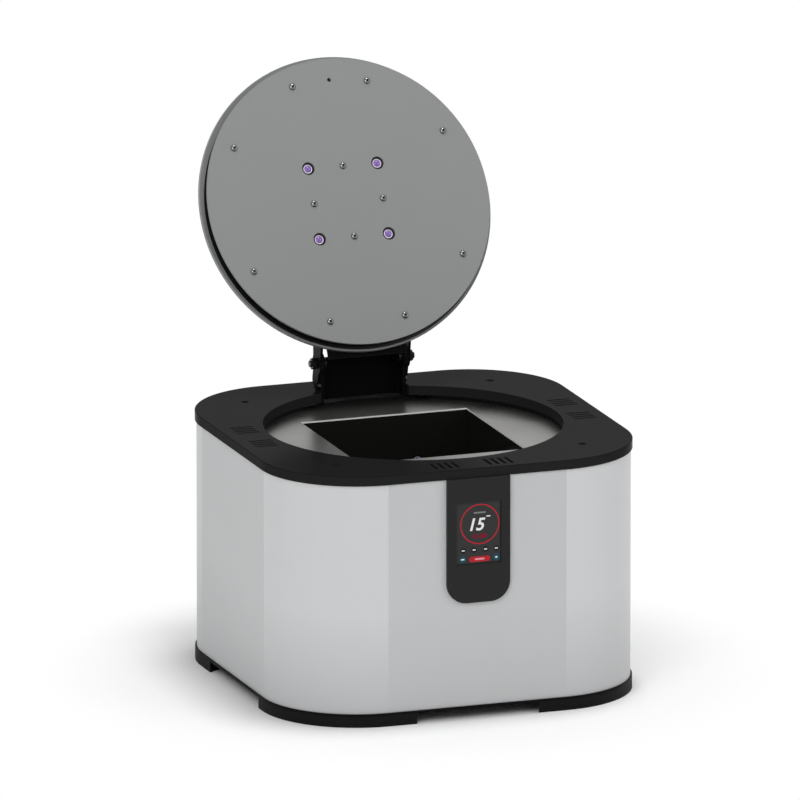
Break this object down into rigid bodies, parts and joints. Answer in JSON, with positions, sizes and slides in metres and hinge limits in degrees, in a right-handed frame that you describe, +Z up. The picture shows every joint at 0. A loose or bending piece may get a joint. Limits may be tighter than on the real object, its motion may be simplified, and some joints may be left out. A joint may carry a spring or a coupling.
{
  "type": "dental lab light curing unit",
  "caption": "Square cabinet with rounded corners and a round hinged lid over a lit curing chamber, with a small display panel at the front.",
  "frame": {"origin": "on the table under the middle of the cabinet's square footprint", "axes": "+Z up, the display panel faces -Y, +X to the right seen from the front"},
  "size_m": [0.3, 0.3692, 0.4446],
  "materials": {
    "base_paint": "satin black powder coat",
    "foot_plastic": "matt black",
    "cabinet_paint": "fine silver-grey paint",
    "post_steel": "zinc plated",
    "top_gloss": "polished black",
    "inner_steel": "polished stainless steel",
    "seal_black": "matt foam",
    "chamber_black": "gloss black",
    "lamp_board": "black solder mask on aluminium",
    "sink_aluminium": "extruded",
    "lamp_lens": "clear violet lens",
    "screw_steel": "plated dome head",
    "screw_black": "black oxide",
    "panel_black": "fine satin black",
    "display_glass": "dark glass with a lit display",
    "board_green": "green circuit board",
    "standoff_brass": "turned",
    "supply_case": "folded sheet",
    "fan_plastic": "moulded black",
    "inlet_plastic": "moulded black",
    "hinge_paint": "black coated sheet with bare edges",
    "lid_grey": "fine satin grey",
    "cover_grey": "satin grey",
    "magnet_nickel": "nickel plated"
  },
  "bodies": {
    "body": {"base_plate": "base_paint", "foot_front_left": "foot_plastic", "foot_front_right": "foot_plastic", "foot_rear_left": "foot_plastic", "foot_rear_right": "foot_plastic", "foot_screws": "screw_black", "cabinet_shell": "cabinet_paint", "corner_posts": "post_steel", "post_screws": "screw_black", "top_plate": "top_gloss", "top_plate_screws": "screw_black", "inner_plate": "inner_steel", "inner_plate_screws": "screw_steel", "light_seal": "seal_black", "chamber_front_wall": "chamber_black", "chamber_back_wall": "chamber_black", "chamber_left_wall": "chamber_black", "chamber_right_wall": "chamber_black", "chamber_floor": "chamber_black", "floor_posts": "post_steel", "led_board_front": "lamp_board", "led_board_back": "lamp_board", "led_board_left": "lamp_board", "led_board_right": "lamp_board", "heat_sink_front": "sink_aluminium", "heat_sink_back": "sink_aluminium", "heat_sink_left": "sink_aluminium", "heat_sink_right": "sink_aluminium", "wall_leds": "lamp_lens", "wall_module_screws": "screw_steel", "front_panel": "panel_black", "display_glass": "display_glass", "display_module": "board_green", "controller_board": "board_green", "board_standoffs": "standoff_brass", "power_supply": "supply_case", "fan_frame": "fan_plastic", "fan_screws": "screw_steel", "reed_sensor": "inlet_plastic", "power_inlet": "inlet_plastic", "switch_housing": "inlet_plastic", "base_hinge_bracket": "hinge_paint", "bracket_screws": "screw_black", "pivot_bolts": "screw_black", "pivot_nuts": "screw_black", "stop_screws": "screw_black"},
    "lid": {"lid_disc": "lid_grey", "lid_spacer": "seal_black", "lid_cover": "cover_grey", "lid_led_board": "lamp_board", "lid_heat_spreader": "sink_aluminium", "lid_leds": "lamp_lens", "lid_rim_screws": "screw_steel", "lid_led_screws": "screw_steel", "lid_hinge_bracket": "hinge_paint", "lid_bracket_screws": "screw_black", "lid_magnet": "magnet_nickel"},
    "fan_rotor": {"fan_rotor": "fan_plastic"},
    "power_rocker": {"power_rocker": "inlet_plastic"}
  },
  "joints": [
    {"name": "lid_hinge", "type": "hinge", "parent": "body", "child": "lid", "pos_m": [0, 0.1205, 0.222], "axis": [-1, 0, 0], "range_deg": [-118, 0]},
    {"name": "fan_spin", "type": "hinge", "parent": "body", "child": "fan_rotor", "pos_m": [0, 0, 0.0235], "axis": [0, 0, 1], "continuous": true},
    {"name": "rocker_tilt", "type": "hinge", "parent": "body", "child": "power_rocker", "pos_m": [-0.006, 0.1466, 0.04], "axis": [1, 0, 0], "range_deg": [0, 14]}
  ]
}
